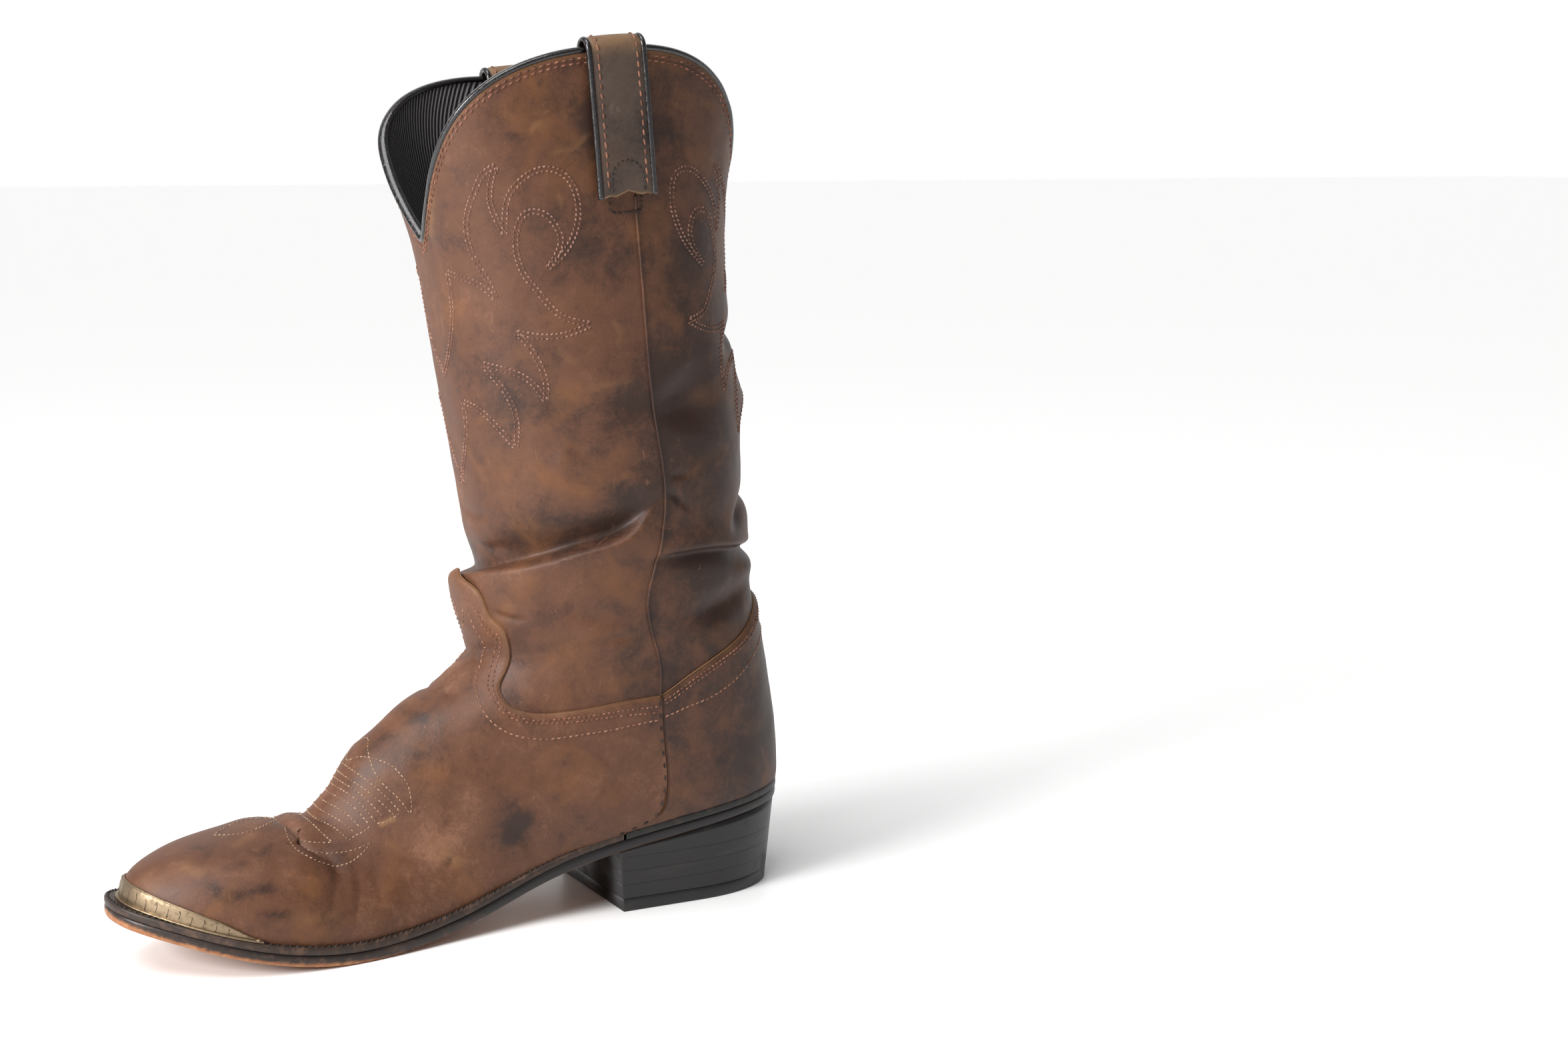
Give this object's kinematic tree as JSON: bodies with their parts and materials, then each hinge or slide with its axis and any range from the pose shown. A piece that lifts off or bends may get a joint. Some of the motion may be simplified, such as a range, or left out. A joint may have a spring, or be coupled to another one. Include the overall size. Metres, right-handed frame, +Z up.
{
  "type": "cowboy boot",
  "caption": "Western boot with a scalloped pull-on shaft, pull straps, stacked underslung heel, welted leather sole and engraved brass toe rand.",
  "frame": {"origin": "middle of the boot's bounding box in plan, on the ground", "axes": "+X to the toe, +Y to the inner side of the foot, +Z up"},
  "size_m": [0.3084, 0.1249, 0.3813],
  "materials": {
    "sole_leather": "waxed cut edge",
    "welt_leather": "waxed",
    "black_leather": "ink-dyed and burnished",
    "cork": "ground cork",
    "steel": "spring steel",
    "insole_board": "plain",
    "sock_leather": "plain",
    "rubber": "fine texture",
    "brass": "worn",
    "brown_leather": "oiled pull-up, scuffed",
    "lining_cloth": "ribbed",
    "stiffener": "skived, hidden",
    "antique_brass": "engraved, antiqued",
    "black_binding": "glossy",
    "strap_leather": "oiled"
  },
  "bodies": {
    "foot": {"outsole": "sole_leather", "welt": "welt_leather", "heel_rand": "black_leather", "cork_filler": "cork", "steel_shank": "steel", "insole": "insole_board", "sock_liner": "sock_leather", "heel_wedge": "black_leather", "heel_lift_1": "black_leather", "heel_lift_2": "black_leather", "heel_lift_3": "black_leather", "heel_top_lift": "rubber", "heel_nails": "brass", "vamp": "brown_leather", "vamp_lining": "lining_cloth", "toe_puff": "stiffener", "counter_cover": "brown_leather", "counter_stiffener": "stiffener", "toe_rand": "antique_brass", "toe_rand_screws": "antique_brass"},
    "shaft": {"shaft_front_panel": "brown_leather", "shaft_back_panel": "brown_leather", "lining_front": "lining_cloth", "lining_back": "lining_cloth", "top_binding_front": "black_binding", "top_binding_back": "black_binding", "side_piping_inner": "brown_leather", "side_piping_outer": "brown_leather", "pull_strap_inner": "strap_leather", "pull_strap_outer": "strap_leather", "pull_strap_piping_inner": "black_binding", "pull_strap_piping_outer": "black_binding"}
  },
  "joints": [
    {"name": "ankle_flex", "type": "hinge", "parent": "foot", "child": "shaft", "pos_m": [-0.0742, 0, 0.14], "axis": [0, 1, 0], "range_deg": [-10, 16], "stiffness_Nm_per_rad": 3, "deforming": ["shaft_front_panel", "shaft_back_panel", "lining_front", "lining_back", "side_piping_inner", "side_piping_outer"]}
  ]
}
